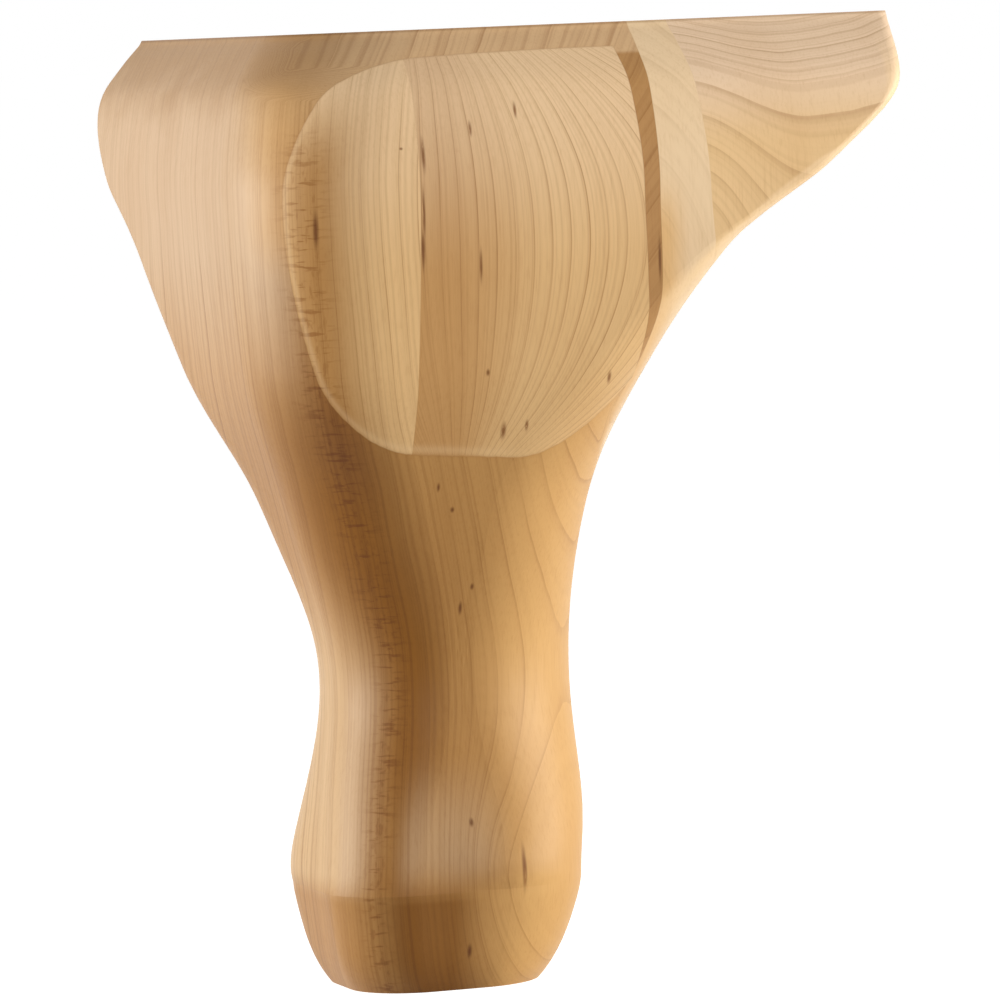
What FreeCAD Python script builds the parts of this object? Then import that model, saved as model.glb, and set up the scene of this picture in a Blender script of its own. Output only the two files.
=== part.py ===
"""Cabriole furniture leg: one solid of glued-up wood, shaped all round.

Frame: millimetres, +Z up, origin at the middle of the sole.  The leg's outer corner points
to -X -Y, one ear runs along +X and the other along +Y, so X = Y is its mirror plane.
"""
import FreeCAD
import Part
import math
import os
from FreeCAD import Vector

# Heights above the floor
leg_height = 204.0
sole_round_height = 7.0
crease_height = 21.5
toe_height = 27.0
instep_height = 40.0
heel_height = 48.0
ankle_height = 65.0

# Drops below the top face
brow_drop = 14.0
ear_edge_drop = 30.0
knee_drop = 34.0
sweep_high_drop = 48.0
knee_bottom_drop = 71.0
sweep_low_drop = 74.0
sweep_start_drop = 94.0
flare_drop = 102.0
calf_drop = 118.0

# Reach of the outer faces, towards -X and -Y
sole_out = 20.6
sole_round_out = 24.0
toe_out = 26.6
toe_side_out = 27.0
instep_out = 23.4
ankle_out = 19.6
flare_out = 30.4
knee_bottom_out = 42.0
knee_out = 45.5
brow_out = 41.5
rim_out = 30.5

# Reach of the inner faces, towards +X and +Y
sole_in = 22.0
sole_round_in = 26.5
crease_in = 31.9
heel_in = 35.5
calf_in = 35.8
sweep_start_in = 38.8
sweep_low_in = 45.0
sweep_high_in = 60.5
ear_edge_in = 85.0
brow_in = 101.2
rim_in = 102.8

# The ear's outer face stands back from the knee's, through an S-shaped bend
ear_setback = 3.0
setback_start = 37.0
setback_full = 77.0

# Corner radii: the outer corner, the two side corners and the inner corner
sole_corner_radius = 14.0
ankle_corner_radius = 20.0
knee_corner_radius = 25.0
brow_corner_radius = 28.0
sole_side_radius = 17.0
ankle_side_radius = 30.0
flare_side_radius = 30.0
ear_side_radius = 3.0
inner_corner_radius = 8.0

# Square notch behind the ears, which leaves their backs flat
notch_face = 32.0
notch_radius = 10.0

# Number of steps between the sections of each stretch
foot_steps = 5
shank_steps = 9
knee_steps = 24

# Heights that follow from the drops
brow_height = leg_height - brow_drop
ear_edge_height = leg_height - ear_edge_drop
knee_height = leg_height - knee_drop
sweep_high_height = leg_height - sweep_high_drop
knee_bottom_height = leg_height - knee_bottom_drop
sweep_low_height = leg_height - sweep_low_drop
sweep_start_height = leg_height - sweep_start_drop
flare_height = leg_height - flare_drop
calf_height = leg_height - calf_drop


def smooth_profile(stations):
    """Curve through (height, value) stations that never overshoots them, as a function of height."""
    steps = [(b[1] - a[1]) / (b[0] - a[0]) for a, b in zip(stations, stations[1:])]
    slopes = [steps[0]]
    for before, after in zip(steps, steps[1:]):
        turning = before * after <= 0.0
        slopes.append(0.0 if turning else 2.0 * before * after / (before + after))
    slopes.append(steps[-1])

    def value(height):
        index = 0
        while index < len(steps) - 1 and height > stations[index + 1][0]:
            index += 1
        low, start = stations[index]
        high, end = stations[index + 1]
        span = high - low
        t = (height - low) / span
        from_start = start * (1 + 2 * t) * (1 - t) ** 2 + end * t * t * (3 - 2 * t)
        from_slopes = slopes[index] * t * (1 - t) ** 2 - slopes[index + 1] * t * t * (1 - t)
        return from_start + span * from_slopes

    return value


foot_reach = smooth_profile([
    (0.0, sole_out),
    (sole_round_height, sole_round_out),
    (crease_height, toe_out),
])
above_crease = [
    (instep_height, instep_out),
    (ankle_height, ankle_out),
    (flare_height, flare_out),
    (knee_bottom_height, knee_bottom_out),
    (knee_height, knee_out),
    (brow_height, brow_out),
    (leg_height, rim_out),
]
leg_reach = smooth_profile([(crease_height, toe_out)] + above_crease)
side_reach = smooth_profile([
    (0.0, sole_out),
    (sole_round_height, sole_round_out),
    (toe_height, toe_side_out),
] + above_crease)
inner_reach = smooth_profile([
    (0.0, sole_in),
    (sole_round_height, sole_round_in),
    (crease_height, crease_in),
    (heel_height, heel_in),
    (calf_height, calf_in),
    (sweep_start_height, sweep_start_in),
    (sweep_low_height, sweep_low_in),
    (sweep_high_height, sweep_high_in),
    (ear_edge_height, ear_edge_in),
    (brow_height, brow_in),
    (leg_height, rim_in),
])
corner_radius = smooth_profile([
    (0.0, sole_corner_radius),
    (ankle_height, ankle_corner_radius),
    (knee_bottom_height, knee_corner_radius),
    (brow_height, brow_corner_radius),
    (leg_height, brow_corner_radius),
])
side_radius = smooth_profile([
    (0.0, sole_side_radius),
    (ankle_height, ankle_side_radius),
    (flare_height, flare_side_radius),
    (ear_edge_height, ear_side_radius),
    (leg_height, ear_side_radius),
])


def outer_reach(height):
    """Reach of the outer faces beside the outer corner, where two curves meet in the foot's crease.

    The crease dies out along each face, whose other end follows side_reach.
    """
    return foot_reach(height) if height <= crease_height else leg_reach(height)


def setback_at(inner):
    """How far the outer face has moved back where it ends, for a section that reaches to inner."""
    t = (inner - setback_start) / (setback_full - setback_start)
    t = min(max(t, 0.0), 1.0)
    return ear_setback * t * t * (3 - 2 * t)


def arc(start, end, centre, radius):
    """Quarter circle from start to end about centre."""
    middle = (start + end) * 0.5 - centre
    middle.normalize()
    return Part.Arc(start, centre + middle * radius, end).toShape()


def bend(start, end, direction):
    """S-shaped edge that leaves start and reaches end along the same direction."""
    third = (end - start).dot(direction) / 3.0
    curve = Part.BezierCurve()
    curve.setPoles([start, start + direction * third, end - direction * third, end])
    return curve.toShape()


def mirrored(point):
    """The point on the other side of the plane X = Y."""
    return Vector(point.y, point.x, point.z)


def section(height):
    """Closed outline of the leg at one height, anticlockwise from its outer corner."""
    outer = outer_reach(height)
    inner = inner_reach(height)
    corner = corner_radius(height)
    side = side_radius(height)
    ear_face = side_reach(height) - setback_at(inner)

    face_start = Vector(-outer + corner, -outer, height)
    face_end = Vector(inner - side, -ear_face, height)
    end_start = Vector(inner, -ear_face + side, height)
    end_finish = Vector(inner, inner - inner_corner_radius, height)
    corner_centre = Vector(-outer + corner, -outer + corner, height)
    side_centre = Vector(inner - side, -ear_face + side, height)
    inner_centre = Vector(inner - inner_corner_radius, inner - inner_corner_radius, height)

    edges = [
        arc(mirrored(face_start), face_start, corner_centre, corner),
        bend(face_start, face_end, Vector(1, 0, 0)),
        arc(face_end, end_start, side_centre, side),
        Part.makeLine(end_start, end_finish),
        arc(end_finish, mirrored(end_finish), inner_centre, inner_corner_radius),
        Part.makeLine(mirrored(end_finish), mirrored(end_start)),
        arc(mirrored(end_start), mirrored(face_end), mirrored(side_centre), side),
        bend(mirrored(face_end), mirrored(face_start), Vector(0, -1, 0)),
    ]
    return Part.Wire(edges)


def heights_between(low, high, steps):
    """Evenly spaced heights from low to high, both included."""
    return [low + (high - low) * index / steps for index in range(steps + 1)]


def lofted(heights):
    """Solid through the sections at these heights."""
    return Part.makeLoft([section(height) for height in heights], True, False)


def notch():
    """Block that is cut away behind the ears, with a rounded inner corner."""
    depth = max(brow_in, rim_in)
    block = Part.makeBox(depth, depth, leg_height, Vector(notch_face, notch_face, 0.0))
    corner_edges = [
        edge for edge in block.Edges
        if all(math.hypot(v.X - notch_face, v.Y - notch_face) < 1e-6 for v in edge.Vertexes)
    ]
    return block.makeFillet(notch_radius, corner_edges)


def make_leg():
    """Foot below the crease, shank, knee and ears, with the notch cut out."""
    foot = lofted(heights_between(0.0, crease_height, foot_steps))
    shank_heights = heights_between(crease_height, knee_bottom_height, shank_steps)
    knee_heights = heights_between(knee_bottom_height, leg_height, knee_steps)
    body = lofted(shank_heights + knee_heights[1:])
    return foot.fuse(body).cut(notch())


leg = make_leg()
os.makedirs("parts", exist_ok=True)
leg.exportStep("parts/cabriole_leg.step")
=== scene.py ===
"""Looks of the cabriole leg: solid glued-up maple under soft studio light.

The wood is one solid texture in the leg's own frame, in millimetres: boards and their glue lines
are regions of space, and growth rings are surfaces in space that the leg's curves cut through.
"""
import math

import bpy
from mathutils import Matrix, Vector

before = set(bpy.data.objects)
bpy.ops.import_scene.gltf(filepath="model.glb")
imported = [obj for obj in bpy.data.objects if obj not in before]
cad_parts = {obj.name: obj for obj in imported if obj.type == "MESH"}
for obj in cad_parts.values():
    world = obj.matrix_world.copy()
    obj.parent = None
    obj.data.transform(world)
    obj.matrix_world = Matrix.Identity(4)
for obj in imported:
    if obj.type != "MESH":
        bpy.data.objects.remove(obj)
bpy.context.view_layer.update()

MILLIMETRES_PER_METRE = 1000.0

# Camera, in metres and degrees
AIM = Vector((0.0, 0.0, 0.102))
DISTANCE = 1.5
AZIMUTH = -18.0
EYE_HEIGHT = 0.204
ROLL = -2.35
SENSOR = 36.0
FAR_CLIP = 100.0
IMAGE_SIDE = 1000.0
PIXELS_PER_METRE = 4660.0
AIM_PIXEL = (413.7, 506.5)

# Soft lights: name, azimuth from the camera's and elevation in degrees, distance in metres,
# width and height in metres, and watts
SOFT_LIGHTS = (
    ("left_box", -84.0, 6.0, 0.9, (0.7, 0.36), 8.3),
    ("right_box", 84.0, 6.0, 0.9, (0.7, 0.36), 8.0),
    ("top_box", 0.0, 68.0, 0.9, (0.7, 0.5), 1.5),
    ("front_fill", 10.0, 12.0, 1.6, (0.8, 0.8), 6.0),
)

# Studio: the world's light, and the floor's grey, glow and half width in metres
WORLD_LIGHT = 0.22
FLOOR_GREY = 0.55
FLOOR_GLOW = 0.88
FLOOR_REACH = 40.0

# Colours of the wood, linear
WING_LIGHT = (0.53, 0.358, 0.21)
BODY_TAN = (0.66, 0.38, 0.135)
# BODY_BROWN and TOE_BROWN: the band down the front, partly the wood's brown and partly painted shade
BODY_BROWN = (0.24, 0.092, 0.010)
TOE_BROWN = (0.205, 0.078, 0.009)
PAD_LEFT = (0.69, 0.44, 0.20)
PAD_MIDDLE = (0.50, 0.27, 0.095)
PAD_RIGHT = (0.66, 0.42, 0.19)
# Painted light on the pad's upper part
PAD_TOP_LIGHT = (0.80, 0.60, 0.40)
STRIP_BROWN = (0.41, 0.215, 0.075)
TOP_BAND = (0.60, 0.385, 0.20)
WING_TOP = (0.36, 0.205, 0.082)
EAR_INNER = (0.74, 0.54, 0.325)
EAR_OUTER = (0.71, 0.475, 0.235)
EAR_TOP = (0.74, 0.54, 0.36)
# Painted highlight on the ear's rounded lower edge and along the pad's lower rim
EDGE_HIGHLIGHT = (0.82, 0.59, 0.34)
# SHANK_LEFT: the shank's left side is darker where its flare faces down, painted shade
SHANK_LEFT = (0.52, 0.285, 0.10)
ANKLE_LEFT = (0.60, 0.40, 0.21)
TOE_LEFT = (0.42, 0.215, 0.068)
# Painted sheen where the instep faces up
INSTEP_SHEEN = (0.62, 0.46, 0.30)
END_GRAIN = (0.64, 0.43, 0.235)

# Colours that darken the wood they lie on, linear
CORNER_SHADE = (0.60, 0.46, 0.27)
RING_LINE = (0.50, 0.36, 0.22)
FIBRE = (0.66, 0.52, 0.38)
TONE = (0.78, 0.66, 0.50)
FLECK = (0.50, 0.31, 0.14)
STREAK = (0.32, 0.19, 0.10)
GLUE = (0.45, 0.30, 0.18)
TOP_RIM = (0.50, 0.42, 0.34)

# Seams between boards: planes, as weights of X, Y and Z and an offset
PAD_FRONT = (0.04, -1.0, 0.0, -35.5)
PAD_SIDE = (-1.0, -0.2, -0.02, 34.4)
PAD_SEAM = (1.0, 0.0, -0.02, 13.9)
STRIP_SEAM = (1.0, 0.08, 0.0, -39.8)
STRIP_BEND_HEIGHT = 152.0
STRIP_BEND = 0.0085
EAR_SEAM = (1.0, 0.15, 0.045, -56.0)
SEAM = (-0.1, 0.1)
PAD_WOBBLE = 0.08

# Where one thing turns into another, from the first value to the second: along X, along Z, or as
# the surface turns, which is the cosine between its normal and the direction across the rings
EAR_X = (34.0, 37.0)
EAR_Z = (106.0, 116.0)
STRIP_X = (33.0, 36.0)
STRIP_BOTTOM_Z = (112.0, 140.0)
STRIP_TOP_Z = (198.0, 197.0)
UPPER_Z = (150.0, 165.0)
OVER_PAD_Z = (190.0, 197.0)
LEFT_FACE_TURN = (-0.2, -0.55)
END_GRAIN_TURN = (0.9, 0.99)
TOE_Z = (26.0, 19.0)
LOW_Z = (110.0, 58.0)
BROWN_Z = (160.0, 100.0)
SHANK_Z = (62.0, 95.0)
WING_Z = (105.0, 165.0)
LEFT_BODY_TURN = (0.3, -0.3)
SHEEN_TOP_Z = (52.0, 32.0)
SHEEN_BOTTOM_Z = (20.0, 30.0)
SHEEN_X = (14.0, 2.0)
SHEEN_TURN = (0.1, 0.45)
PAD_TOP_Z = (150.0, 192.0)
WEDGE_SIDE = (7.0, 0.5)
WEDGE_Z = (174.0, 158.0)
EAR_TOP_Z = (176.0, 194.0)
TOP_BAND_Z = (183.0, 200.0)
TOP_BAND_TURN = (0.25, -0.2)
WING_TAN_TURN = (-0.7, -0.2)
CORNER_TOP_Z = (195.0, 174.0)
CORNER_BOTTOM_Z = (95.0, 125.0)
FLAT_SAWN_TURN = (0.4, 0.75)
FLECK_Z = (190.0, 170.0)
FRONT_Y = (-8.0, -12.0)
RIM_HIGHLIGHT_X = (20.0, -5.0)
RIM_HIGHLIGHT_Z = (192.0, 178.0)
TOP_RIM_Z = (203.3, 203.8)

# Growth rings of the body stand across this direction; they swell into an oval on the foot
RING_X = 0.82
RING_Y = -0.57
RING_SPACING = 4.5
RING_START = 29.3
WAVER = 1.2
OVAL_HEIGHT = 23.0
OVAL_HALF_HEIGHT = 21.0
OVAL_SWELL = 6.1
OVAL_X = (-8.0, 8.0)
OVAL_TOP_Z = (62.0, 50.0)
OVAL_WIDENING = 0.65

# Growth rings of the other boards
PAD_LEFT_SPACING = 3.2
PAD_ARC_AXIS = (1.0, 0.0, 0.02, -1.2)
PAD_ARC_HEIGHT = 161.0
PAD_ARC_BEND = 0.00031
PAD_ARC_NARROWEST = 0.3
PAD_ARC_WAVER = 0.6
PAD_ARC_SPACING = 4.2
PAD_RIGHT_ARCS = (-5.0, 26.0)
STRIP_RING_AXIS = (0.8, 0.0, -0.6, 0.0)
STRIP_SPACING = 6.0
INNER_ARC_CENTRE = (36.0, 0.0, 138.0)
INNER_ARC_WEIGHTS = (1.0, 0.0, 0.5)
INNER_ARC_SPACING = 5.0
PIT_CENTRE = (50.0, 0.0, 157.0)
PIT_WEIGHTS = (1.0 / 15.0, 0.0, 1.0 / 25.0)
PIT_DEPTH = 42.0
CROWN_X = 74.0
CROWN_BEND = 0.006
CROWDED_FROM = 189.0
CROWDED_RATE = 0.40
OUTER_SPACING = 13.0

# Brown band on the front, partly wood where the rings are cut along their length and partly
# painted shade where the front turns away from the side lights: the turn at its middle, its spread,
# and how fast it gives way towards +X, each for the shank, the low leg and the toe
BROWN_TURN = (-0.08, 0.23, 0.43)
BROWN_SIDEWAYS = (0.01, 0.014, 0.06)
BROWN_SPREAD = (0.85, 0.62)
BROWN_START_X = -3.0
# The band thins on the instep: painted light where the instep faces up
INSTEP_HEIGHT = 32.0
INSTEP_HALF_HEIGHT = 12.0
INSTEP_LIGHTER = 0.2

# The ear's lower edge, which gets a painted highlight: X as a curve of the height, in a swept part
# and a tip
SWEEP_HEIGHT = 130.0
SWEEP_CURVE = (45.0, 0.143, 0.0174)
TIP_HEIGHT = 190.0
TIP_END = 101.4
TIP_BEND = 0.0633
TIP_Z = (172.0, 176.0)
EDGE_WIDTH = (5.0, 3.2)
EDGE_BOTTOM_Z = (130.0, 162.0)
EDGE_TOP_Z = (202.0, 186.0)
EDGE_FACING = (0.08, 0.4)
END_FACE_FACING = (0.95, 0.7)

# Mineral streaks on the front: place along X, height, half width and half length, in millimetres
STREAKS = (
    (-9.3, 178.0, 0.45, 3.4), (-9.9, 166.0, 0.35, 5.0), (-10.2, 158.5, 0.45, 4.0),
    (2.5, 154.5, 0.35, 3.4), (1.6, 183.0, 0.35, 1.5), (8.2, 119.4, 0.6, 1.7),
    (13.3, 120.3, 0.4, 1.1), (4.0, 132.0, 0.4, 0.7), (12.0, 186.5, 0.35, 1.6),
    (31.6, 129.5, 0.5, 1.3), (-14.0, 179.5, 0.4, 0.3), (42.6, 154.0, 0.35, 4.5),
    (-1.5, 103.0, 0.45, 0.6), (4.3, 86.0, 0.4, 0.7), (-5.0, 108.0, 0.35, 0.9),
    (2.0, 81.5, 0.4, 1.4), (-32.3, 163.5, 0.5, 3.6), (12.7, 25.6, 0.55, 4.6),
    (2.0, 36.0, 0.5, 0.9), (0.5, 8.6, 0.5, 1.5),
)


class Graph:
    """Short forms for building a shader's node tree."""

    def __init__(self, tree):
        self.tree = tree
        self.tree.nodes.clear()

    def node(self, kind, **settings):
        """New node with these settings."""
        made = self.tree.nodes.new(kind)
        for name, value in settings.items():
            setattr(made, name, value)
        return made

    def feed(self, socket, value):
        """Links a socket to another one, or gives it a constant."""
        if isinstance(value, bpy.types.NodeSocket):
            self.tree.links.new(value, socket)
        else:
            socket.default_value = value

    def math(self, operation, *values):
        """Result of one Math node."""
        made = self.node("ShaderNodeMath", operation=operation)
        for socket, value in zip(made.inputs, values):
            self.feed(socket, value)
        return made.outputs[0]

    def vector_math(self, operation, *values):
        """Result of one Vector Math node, as its node."""
        made = self.node("ShaderNodeVectorMath", operation=operation)
        for socket, value in zip(made.inputs, values):
            self.feed(socket, value)
        return made

    def add(self, *values):
        """Sum of two or more values."""
        total = values[0]
        for value in values[1:]:
            total = self.math("ADD", total, value)
        return total

    def times(self, *values):
        """Product of two or more values."""
        total = values[0]
        for value in values[1:]:
            total = self.math("MULTIPLY", total, value)
        return total

    def larger(self, first, second):
        """The larger of two values."""
        return self.math("MAXIMUM", first, second)

    def excess(self, value, limit):
        """How far value lies above limit, or 0."""
        return self.larger(self.math("SUBTRACT", value, limit), 0.0)

    def shortfall(self, value, limit):
        """How far value lies below limit, or 0."""
        return self.larger(self.math("SUBTRACT", limit, value), 0.0)

    def inverse(self, value):
        """1 minus value."""
        return self.math("SUBTRACT", 1.0, value)

    def lessened(self, value, share):
        """1 where value is 0, falling by share where value is 1."""
        return self.math("MULTIPLY_ADD", value, -share, 1.0)

    def plane(self, point, along_x, along_y, along_z, offset):
        """Weighted sum of a point's coordinates, plus an offset."""
        made = self.vector_math("DOT_PRODUCT", point, (along_x, along_y, along_z))
        return self.math("ADD", made.outputs["Value"], offset)

    def ramp(self, value, low, high):
        """0 below low, 1 above high and smooth between; low may be above high."""
        made = self.node("ShaderNodeMapRange", interpolation_type="SMOOTHSTEP")
        self.feed(made.inputs["Value"], value)
        made.inputs["From Min"].default_value = min(low, high)
        made.inputs["From Max"].default_value = max(low, high)
        if low > high:
            made.inputs["To Min"].default_value = 1.0
            made.inputs["To Max"].default_value = 0.0
        return made.outputs["Result"]

    def bell(self, value, centre, width):
        """1 at centre, falling to 0 as a bell curve."""
        offset = self.math("MULTIPLY_ADD", value, 1.0 / width, -centre / width)
        return self.math("EXPONENT", self.times(offset, offset, -1.0))

    def distance(self, point, centre, weights):
        """Distance of a point from a centre, with each direction weighted."""
        moved = self.vector_math("SUBTRACT", point, centre)
        scaled = self.vector_math("MULTIPLY", moved.outputs[0], weights)
        return self.vector_math("LENGTH", scaled.outputs[0]).outputs["Value"]

    def noise(self, point, cells, detail=2.0, roughness=0.5):
        """Noise from 0 to 1, with its own number of cells per millimetre in each direction."""
        made = self.node("ShaderNodeTexNoise")
        self.feed(made.inputs["Vector"], self.vector_math("MULTIPLY", point, cells).outputs[0])
        made.inputs["Scale"].default_value = 1.0
        made.inputs["Detail"].default_value = detail
        made.inputs["Roughness"].default_value = roughness
        return made.outputs["Fac"]

    def waver(self, point, cells, reach, detail=2.0):
        """Noise from -reach to reach."""
        return self.math("MULTIPLY_ADD", self.noise(point, cells, detail), 2.0 * reach, -reach)

    def stripes(self, value, scale, detail):
        """Noise from 0 to 1 along a single value."""
        made = self.node("ShaderNodeTexNoise", noise_dimensions="1D")
        self.feed(made.inputs["W"], value)
        made.inputs["Scale"].default_value = scale
        made.inputs["Detail"].default_value = detail
        return made.outputs["Fac"]

    def blend(self, factor, first, second):
        """Number that goes from first to second as factor goes from 0 to 1."""
        made = self.node("ShaderNodeMix", data_type="FLOAT")
        self.feed(made.inputs["Factor"], factor)
        self.feed(made.inputs["A"], first)
        self.feed(made.inputs["B"], second)
        return made.outputs["Result"]

    def tint(self, factor, first, second, mode="MIX"):
        """Colour that goes from first to second as factor goes from 0 to 1."""
        made = self.node("ShaderNodeMix", data_type="RGBA", blend_type=mode)
        factor_socket, first_socket, second_socket = (made.inputs[index] for index in (0, 6, 7))
        self.feed(factor_socket, factor)
        for socket, value in ((first_socket, first), (second_socket, second)):
            is_socket = isinstance(value, bpy.types.NodeSocket)
            self.feed(socket, value if is_socket else (*value, 1.0))
        return made.outputs[2]

    def darken(self, factor, colour, by):
        """Colour multiplied by another where factor is 1."""
        return self.tint(factor, colour, by, "MULTIPLY")


class Wood(Graph):
    """Fields of the leg's wood: its boards, growth rings and colours at each place in the leg."""

    def __init__(self, tree):
        super().__init__(tree)
        self.find_place()
        self.find_boards()
        self.find_rings()
        self.find_ear_highlight()
        self.fibre = self.noise(self.point, (2.2, 2.2, 0.10), 3.0, 0.6)

    def find_place(self):
        """The place in millimetres, and how the surface is turned there."""
        scaled = self.node("ShaderNodeVectorMath", operation="SCALE")
        self.feed(scaled.inputs[0], self.node("ShaderNodeTexCoord").outputs["Object"])
        scaled.inputs["Scale"].default_value = MILLIMETRES_PER_METRE
        self.point = scaled.outputs[0]
        split = self.node("ShaderNodeSeparateXYZ")
        self.feed(split.inputs[0], self.point)
        self.x, self.y, self.z = split.outputs
        normal = self.node("ShaderNodeNewGeometry").outputs["Normal"]
        self.across = self.plane(normal, RING_X, RING_Y, 0.0, 0.0)
        self.facing_x = self.plane(normal, 1.0, 0.0, 0.0, 0.0)
        up = self.plane(normal, 0.0, 0.0, 1.0, 0.0)
        self.end_grain = self.ramp(self.math("ABSOLUTE", up), *END_GRAIN_TURN)

    def find_boards(self):
        """Boards as regions of space: the pad on the knee, the strip beside it and the ear."""
        point, x, z = self.point, self.x, self.z
        wobble = self.waver(point, (0.5, 0.5, 0.5), PAD_WOBBLE, 1.0)
        self.pad_depth = self.add(self.plane(point, *PAD_FRONT), wobble)
        self.pad_side = self.plane(point, *PAD_SIDE)
        self.within_side = self.ramp(self.pad_side, *SEAM)
        self.pad = self.times(self.ramp(self.pad_depth, *SEAM), self.within_side)
        self.off_pad = self.inverse(self.pad)
        self.middle = self.ramp(self.plane(point, *PAD_SEAM), *SEAM)
        below = self.shortfall(z, STRIP_BEND_HEIGHT)
        self.strip_side = self.add(self.plane(point, *STRIP_SEAM),
                                   self.times(below, below, STRIP_BEND))
        self.in_ear = self.times(self.ramp(self.strip_side, *SEAM), self.ramp(x, *EAR_X),
                                 self.ramp(z, *EAR_Z))
        self.outer_ear = self.ramp(self.plane(point, *EAR_SEAM), *SEAM)
        self.in_strip = self.times(self.ramp(x, *STRIP_X), self.ramp(z, *STRIP_BOTTOM_Z),
                                   self.ramp(z, *STRIP_TOP_Z))
        self.upper = self.ramp(z, *UPPER_Z)
        self.left_face = self.ramp(self.across, *LEFT_FACE_TURN)

    def find_rings(self):
        """Growth rings of all boards, counted in ring widths."""
        waver = self.waver(self.point, (0.05, 0.05, 0.012), WAVER)
        ring = self.body_ring(waver)
        inside_oval = self.times(self.excess(ring, 0.0), self.ramp(self.z, *OVAL_TOP_Z))
        body_rings = self.times(self.add(ring, self.times(inside_oval, -OVAL_WIDENING)),
                                1.0 / RING_SPACING)

        climb = self.math("SUBTRACT", self.z, PAD_ARC_HEIGHT)
        narrowing = self.larger(self.lessened(self.times(climb, climb), PAD_ARC_BEND),
                                PAD_ARC_NARROWEST)
        arcs = self.math("DIVIDE", self.plane(self.point, *PAD_ARC_AXIS), narrowing)
        middle_rings = self.times(self.add(arcs, self.times(waver, PAD_ARC_WAVER)),
                                  1.0 / PAD_ARC_SPACING)
        pad_rings = self.blend(self.middle, self.times(ring, 1.0 / PAD_LEFT_SPACING), middle_rings)
        self.right = self.ramp(arcs, *PAD_RIGHT_ARCS)

        strip_rings = self.times(self.add(self.plane(self.point, *STRIP_RING_AXIS), waver),
                                 1.0 / STRIP_SPACING)
        over_pad = self.times(self.ramp(self.z, *OVER_PAD_Z), self.inverse(self.left_face))
        banded = self.larger(over_pad, self.in_strip)

        back_rings = self.blend(self.in_ear, self.blend(banded, body_rings, strip_rings),
                                self.ear_rings(waver))
        self.rings = self.blend(self.pad, back_rings, pad_rings)

    def body_ring(self, waver):
        """Depth across the body's rings in millimetres, swollen into an oval on the foot."""
        swell = self.times(self.bell(self.z, OVAL_HEIGHT, OVAL_HALF_HEIGHT),
                           self.ramp(self.x, *OVAL_X), OVAL_SWELL)
        return self.add(self.plane(self.point, RING_X, RING_Y, 0.0, -RING_START), swell, waver)

    def ear_rings(self, waver):
        """Rings of the ear's two boards: arcs in the inner one, sagging levels in the outer one."""
        inner_arcs = self.distance(self.point, INNER_ARC_CENTRE, INNER_ARC_WEIGHTS)
        inner_rings = self.times(self.add(inner_arcs, waver), 1.0 / INNER_ARC_SPACING)
        pit = self.distance(self.point, PIT_CENTRE, PIT_WEIGHTS)
        sag = self.times(self.bell(pit, 0.0, 1.0), -PIT_DEPTH)
        along = self.math("SUBTRACT", self.x, CROWN_X)
        terrace = self.add(self.z, sag, self.times(along, along, -CROWN_BEND), waver)
        crowded = self.excess(terrace, CROWDED_FROM)
        outer_rings = self.add(self.times(terrace, 1.0 / OUTER_SPACING),
                               self.times(crowded, CROWDED_RATE))
        return self.blend(self.outer_ear, inner_rings, outer_rings)

    def find_ear_highlight(self):
        """Painted highlight on the ear's rounded lower edge, found by its nearness to the ear's end
        and by its turn.
        """
        swept = self.math("SUBTRACT", self.z, SWEEP_HEIGHT)
        start, slope, bend = SWEEP_CURVE
        swept_end = self.add(start, self.times(swept, slope), self.times(swept, swept, bend))
        short = self.shortfall(self.z, TIP_HEIGHT)
        tip_end = self.math("MULTIPLY_ADD", self.times(short, short), -TIP_BEND, TIP_END)
        ear_end = self.blend(self.ramp(self.z, *TIP_Z), swept_end, tip_end)
        near = self.ramp(self.math("SUBTRACT", ear_end, self.x), *EDGE_WIDTH)
        turned = self.times(self.ramp(self.facing_x, *EDGE_FACING),
                            self.ramp(self.facing_x, *END_FACE_FACING))
        self.edge = self.times(self.larger(turned, self.times(near, 0.7)),
                               self.ramp(self.z, *EDGE_BOTTOM_Z), self.ramp(self.z, *EDGE_TOP_Z))

    def body_colour(self):
        """Colour of the lower leg: tan, paler on the left except for painted shade where the shank's
        flare faces down, brown along a band that is partly wood and partly painted shade, and a
        painted sheen on the instep.
        """
        across, x, z = self.across, self.x, self.z
        toe = self.ramp(z, *TOE_Z)
        low = self.ramp(z, *LOW_Z)
        shank_turn, low_turn, toe_turn = BROWN_TURN
        shank_rate, low_rate, toe_rate = BROWN_SIDEWAYS
        centre = self.blend(toe, self.blend(low, shank_turn, low_turn), toe_turn)
        rate = self.blend(toe, self.blend(low, shank_rate, low_rate), toe_rate)
        sideways = self.times(self.excess(x, BROWN_START_X), rate)
        turned = self.math("DIVIDE", self.math("SUBTRACT", self.add(across, sideways), centre),
                           self.blend(low, *BROWN_SPREAD))
        # The brown band is partly wood and partly painted shade; it thins on the instep, painted
        # light where the instep faces up
        instep = self.lessened(self.bell(z, INSTEP_HEIGHT, INSTEP_HALF_HEIGHT), INSTEP_LIGHTER)
        brown = self.times(self.bell(turned, 0.0, 1.0), self.ramp(z, *BROWN_Z),
                           self.larger(instep, toe))

        ankle_left = self.tint(toe, ANKLE_LEFT, TOE_LEFT)
        # Painted shade: darker on the shank's left side, where the flare faces down
        shank_left = self.tint(self.ramp(z, *SHANK_Z), ankle_left, SHANK_LEFT)
        left = self.tint(self.ramp(z, *WING_Z), shank_left, WING_LIGHT)
        colour = self.tint(self.ramp(across, *LEFT_BODY_TURN), BODY_TAN, left)
        colour = self.tint(brown, colour, self.tint(toe, BODY_BROWN, TOE_BROWN))
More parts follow.
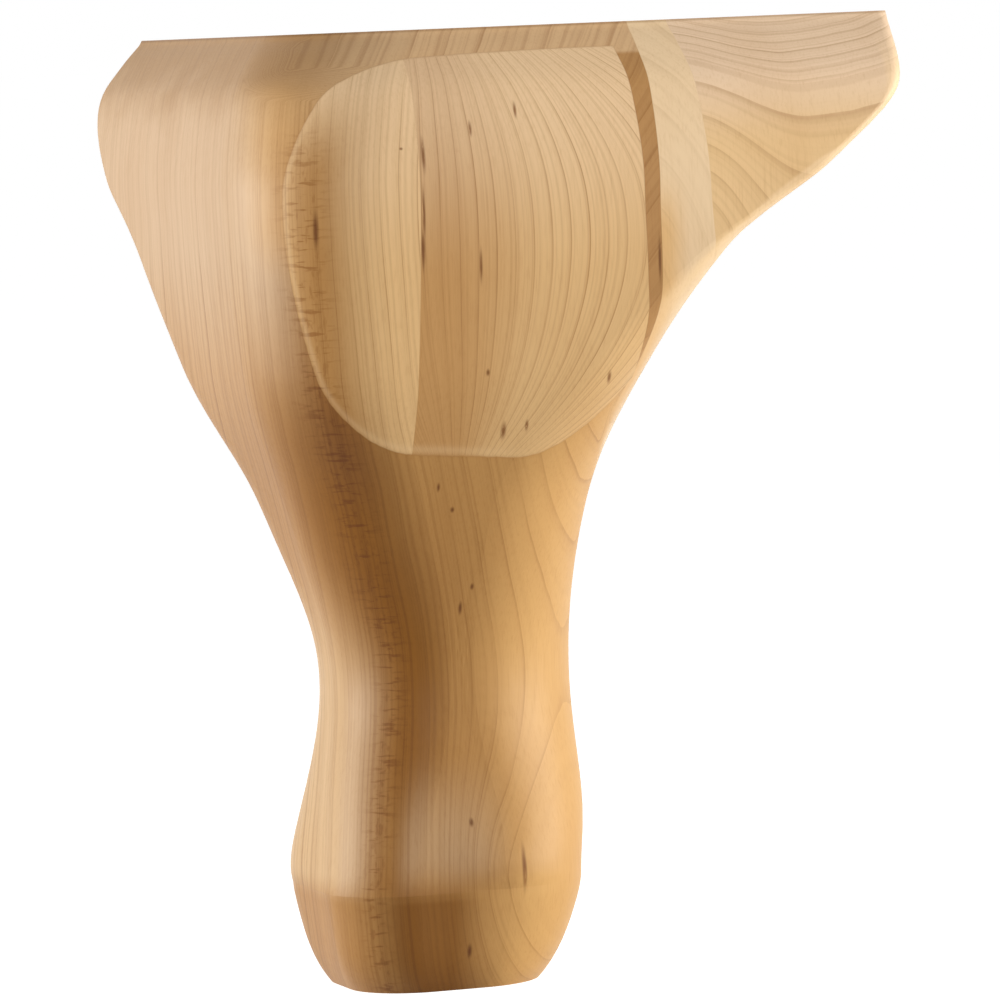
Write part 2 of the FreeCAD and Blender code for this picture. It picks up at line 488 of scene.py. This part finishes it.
        # Painted sheen on the instep, where it faces up
        sheen = self.times(self.ramp(z, *SHEEN_TOP_Z), self.ramp(z, *SHEEN_BOTTOM_Z),
                           self.ramp(x, *SHEEN_X), self.ramp(across, *SHEEN_TURN), 0.3)
        return self.tint(sheen, colour, INSTEP_SHEEN)

    def pad_colour(self):
        """Colour of the pad's two boards, with painted light towards the top."""
        colour = self.tint(self.right, self.tint(self.middle, PAD_LEFT, PAD_MIDDLE), PAD_RIGHT)
        # Painted light towards the pad's top, where the surface turns up
        return self.tint(self.times(self.ramp(self.z, *PAD_TOP_Z), 0.5), colour, PAD_TOP_LIGHT)

    def ear_colour(self):
        """Colour of the ear's two boards, with a tan wedge by the strip and a painted highlight on
        the lower edge.
        """
        wedge = self.times(self.ramp(self.strip_side, *WEDGE_SIDE),
                           self.ramp(self.z, *WEDGE_Z), 0.75)
        inner = self.tint(wedge, EAR_INNER, BODY_TAN)
        outer = self.tint(self.ramp(self.z, *EAR_TOP_Z), EAR_OUTER, EAR_TOP)
        # The ear's lower edge gets a painted highlight
        return self.tint(self.edge, self.tint(self.outer_ear, inner, outer), EDGE_HIGHLIGHT)

    def upper_colour(self):
        """Colour of the wing, the band under the top and the strip beside the pad."""
        smudge = self.waver(self.point, (0.06, 0.06, 0.1), 6.0)
        top_band = self.ramp(self.add(self.z, smudge), *TOP_BAND_Z)
        tan = self.times(self.ramp(self.across, *WING_TAN_TURN), 0.6)
        wing = self.tint(tan, WING_LIGHT, BODY_TAN)
        band = self.tint(self.ramp(self.across, *TOP_BAND_TURN), TOP_BAND, WING_TOP)
        return self.tint(self.in_strip, self.tint(top_band, wing, band), STRIP_BROWN)

    def board_colour(self):
        """Colour of all boards, shaded along the knee's corner and plain on end grain."""
        in_upper = self.larger(self.upper, self.in_strip)
        body = self.tint(in_upper, self.body_colour(), self.upper_colour())
        back = self.tint(self.in_ear, body, self.ear_colour())
        colour = self.tint(self.pad, back, self.pad_colour())
        corner = self.times(self.bell(self.across, 0.06, 0.26), self.ramp(self.z, *CORNER_TOP_Z),
                            self.ramp(self.z, *CORNER_BOTTOM_Z), 0.9)
        colour = self.darken(corner, colour, CORNER_SHADE)
        return self.tint(self.times(self.end_grain, 0.8), colour, END_GRAIN)

    def ring_lines(self):
        """Each ring darkens slowly and ends in a thin line, with finer stripes between."""
        share = self.math("FRACT", self.rings)
        slow = self.math("POWER", share, 5.0)
        line = self.times(self.ramp(share, 0.9, 0.975), self.ramp(share, 1.0, 0.985))
        strength = self.ramp(self.noise(self.point, (0.09, 0.09, 0.02)), 0.3, 0.7)
        fine = self.ramp(self.stripes(self.rings, 5.0, 3.0), 0.42, 0.72)
        off_flat = self.lessened(self.ramp(self.across, *FLAT_SAWN_TURN), 0.8)
        line_weight = self.blend(self.pad, 0.26, 0.42)
        fine_weight = self.blend(self.pad, self.times(off_flat, 0.34), 0.2)
        on_ear = self.times(self.in_ear, self.off_pad)
        broad = self.times(on_ear, self.outer_ear, self.math("POWER", share, 2.5))
        lines = self.add(self.times(slow, 0.2), self.times(line, strength, line_weight),
                         self.times(fine, fine_weight), self.times(broad, 0.2))

        on_wing = self.times(self.left_face, self.upper)
        on_inner_ear = self.times(self.in_ear, self.inverse(self.outer_ear))
        faint = self.times(self.larger(on_wing, on_inner_ear), self.off_pad)
        return self.times(lines, self.lessened(faint, 0.45), self.lessened(on_ear, 0.35),
                          self.lessened(self.times(self.edge, on_ear), 0.8))

    def ray_flecks(self):
        """Short level bars and specks in a narrow column, where the surface lies along the rays."""
        column = self.bell(self.across, -0.04, 0.16)
        bars = self.ramp(self.noise(self.point, (0.2, 0.2, 1.1)), 0.54, 0.66)
        specks = self.ramp(self.noise(self.point, (0.9, 0.9, 0.35)), 0.55, 0.7)
        marks = self.larger(bars, self.times(specks, 0.6))
        return self.times(column, self.ramp(self.z, *FLECK_Z), marks)

    def mineral_streaks(self):
        """Dark upright streaks at their own places on the front, broken up by the fibres."""
        streaks = 0.0
        for place, height, half_width, half_length in STREAKS:
            weights = (1.0 / half_width, 0.0, 1.0 / half_length)
            offset = self.distance(self.point, (place, 0.0, height), weights)
            streaks = self.larger(streaks, self.ramp(offset, 1.5, 0.2))
        return self.times(streaks, self.ramp(self.y, *FRONT_Y), self.ramp(self.fibre, 0.15, 0.45))

    def glue_lines(self):
        """Thin lines round the pad, at its front seam and its side seam."""
        front = self.times(self.bell(self.pad_depth, 0.0, 0.16), self.within_side)
        side = self.times(self.bell(self.pad_side, 0.0, 0.14), self.ramp(self.pad_depth, -0.2, 0.0))
        return self.larger(front, side)

    def rim_highlight(self):
        """Painted highlight: a pale line just inside the pad's lower left edge."""
        return self.times(self.bell(self.pad_depth, 0.5, 0.4), self.pad,
                          self.ramp(self.x, *RIM_HIGHLIGHT_X), self.ramp(self.z, *RIM_HIGHLIGHT_Z))

    def colour(self, lines):
        """Colour of the boards with all that lies on them, from broad to fine."""
        tone = self.ramp(self.noise(self.point, (0.05, 0.05, 0.02), 3.0), 0.4, 0.75)
        top_rim = self.times(self.ramp(self.z, *TOP_RIM_Z), self.inverse(self.end_grain))
        fibres = self.ramp(self.fibre, 0.45, 0.8)
        colour = self.darken(lines, self.board_colour(), RING_LINE)
        colour = self.darken(self.times(fibres, 0.22), colour, FIBRE)
        colour = self.darken(self.times(tone, 0.20), colour, TONE)
        colour = self.darken(self.times(self.ray_flecks(), 0.6), colour, FLECK)
        colour = self.darken(self.times(self.mineral_streaks(), 0.88), colour, STREAK)
        colour = self.darken(self.times(self.glue_lines(), 0.15), colour, GLUE)
        # Painted highlight along the pad's lower rim
        colour = self.tint(self.times(self.rim_highlight(), 0.2), colour, EDGE_HIGHLIGHT)
        return self.darken(self.times(top_rim, 0.6), colour, TOP_RIM)


def wood_material():
    """Maple boards with glue lines, growth rings, ray flecks, mineral streaks and end grain, and
    painted shade, sheen and highlights in their colour.
    """
    material = bpy.data.materials.new("glued_maple")
    material.use_nodes = True
    wood = Wood(material.node_tree)
    lines = wood.ring_lines()

    shader = wood.node("ShaderNodeBsdfPrincipled")
    wood.feed(shader.inputs["Base Color"], wood.colour(lines))
    wood.feed(shader.inputs["Roughness"], wood.math("MULTIPLY_ADD", wood.fibre, 0.16, 0.36))
    shader.inputs["Specular IOR Level"].default_value = 0.2
    bump = wood.node("ShaderNodeBump")
    bump.inputs["Strength"].default_value = 0.25
    bump.inputs["Distance"].default_value = 0.00006
    wood.feed(bump.inputs["Height"], wood.add(wood.fibre, wood.times(lines, -0.6)))
    wood.feed(shader.inputs["Normal"], bump.outputs[0])
    output = wood.node("ShaderNodeOutputMaterial")
    wood.feed(output.inputs["Surface"], shader.outputs[0])
    return material


def dress_leg():
    """Gives the leg its wood."""
    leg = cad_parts["cabriole_leg"]
    leg.data.materials.clear()
    leg.data.materials.append(wood_material())


def placed(name, data, azimuth, elevation, distance):
    """New object that looks at the aim from this direction, in degrees, and distance."""
    made = bpy.data.objects.new(name, data)
    bpy.context.scene.collection.objects.link(made)
    turn = math.radians(azimuth)
    rise = math.radians(elevation)
    away = Vector((math.sin(turn) * math.cos(rise),
                   -math.cos(turn) * math.cos(rise),
                   math.sin(rise)))
    facing = away.to_track_quat("Z", "Y").to_matrix().to_4x4()
    made.matrix_world = Matrix.Translation(AIM + away * distance) @ facing
    return made


def camera():
    """The photograph's view: eye level with the top face, rolled a little, long lens."""
    data = bpy.data.cameras.new("camera")
    data.sensor_width = SENSOR
    data.lens = PIXELS_PER_METRE * DISTANCE * SENSOR / IMAGE_SIDE
    data.shift_x = (IMAGE_SIDE / 2 - AIM_PIXEL[0]) / IMAGE_SIDE
    data.shift_y = (AIM_PIXEL[1] - IMAGE_SIDE / 2) / IMAGE_SIDE
    data.clip_end = FAR_CLIP
    elevation = math.degrees(math.asin((EYE_HEIGHT - AIM.z) / DISTANCE))
    made = placed("camera", data, AZIMUTH, elevation, DISTANCE)
    made.matrix_world = made.matrix_world @ Matrix.Rotation(math.radians(ROLL), 4, "Z")
    bpy.context.scene.camera = made


def lights():
    """Two soft boxes beside the leg, a weak one above it, and a fill from the front."""
    for name, turn, elevation, distance, (width, height), power in SOFT_LIGHTS:
        data = bpy.data.lights.new(name, "AREA")
        data.shape = "RECTANGLE"
        data.size = width
        data.size_y = height
        data.energy = power
        placed(name, data, AZIMUTH + turn, elevation, distance)


def white_where_seen(graph, dim):
    """Strength of 1 where the camera or a reflection sees it, and dim for the light it gives."""
    path = graph.node("ShaderNodeLightPath")
    seen = path.outputs["Is Camera Ray"]
    for kind in ("Is Glossy Ray", "Is Transmission Ray"):
        seen = graph.larger(seen, path.outputs[kind])
    return graph.blend(seen, dim, 1.0)


def backdrop():
    """White world that lights the leg only dimly."""
    world = bpy.data.worlds.new("studio")
    bpy.context.scene.world = world
    world.use_nodes = True
    g = Graph(world.node_tree)
    background = g.node("ShaderNodeBackground")
    background.inputs["Color"].default_value = (1.0, 1.0, 1.0, 1.0)
    g.feed(background.inputs["Strength"], white_where_seen(g, WORLD_LIGHT))
    output = g.node("ShaderNodeOutputWorld")
    g.feed(output.inputs["Surface"], background.outputs[0])


def floor_material():
    """Pale matt floor with a glow that only the camera and reflections see."""
    material = bpy.data.materials.new("white_floor")
    material.use_nodes = True
    g = Graph(material.node_tree)
    matt = g.node("ShaderNodeBsdfDiffuse")
    matt.inputs["Color"].default_value = (FLOOR_GREY, FLOOR_GREY, FLOOR_GREY, 1.0)
    glow = g.node("ShaderNodeEmission")
    g.feed(glow.inputs["Strength"], g.times(white_where_seen(g, 0.0), FLOOR_GLOW))
    both = g.node("ShaderNodeAddShader")
    g.feed(both.inputs[0], matt.outputs[0])
    g.feed(both.inputs[1], glow.outputs[0])
    output = g.node("ShaderNodeOutputMaterial")
    g.feed(output.inputs["Surface"], both.outputs[0])
    return material


def lay_floor():
    """Floor that keeps the leg's shadow."""
    mesh = bpy.data.meshes.new("floor")
    reach = FLOOR_REACH
    mesh.from_pydata([(-reach, -reach, 0), (reach, -reach, 0), (reach, reach, 0), (-reach, reach, 0)],
                     [], [(0, 1, 2, 3)])
    mesh.materials.append(floor_material())
    floor = bpy.data.objects.new("floor", mesh)
    bpy.context.scene.collection.objects.link(floor)


dress_leg()
camera()
lights()
backdrop()
lay_floor()
bpy.context.scene.view_settings.view_transform = "Standard"
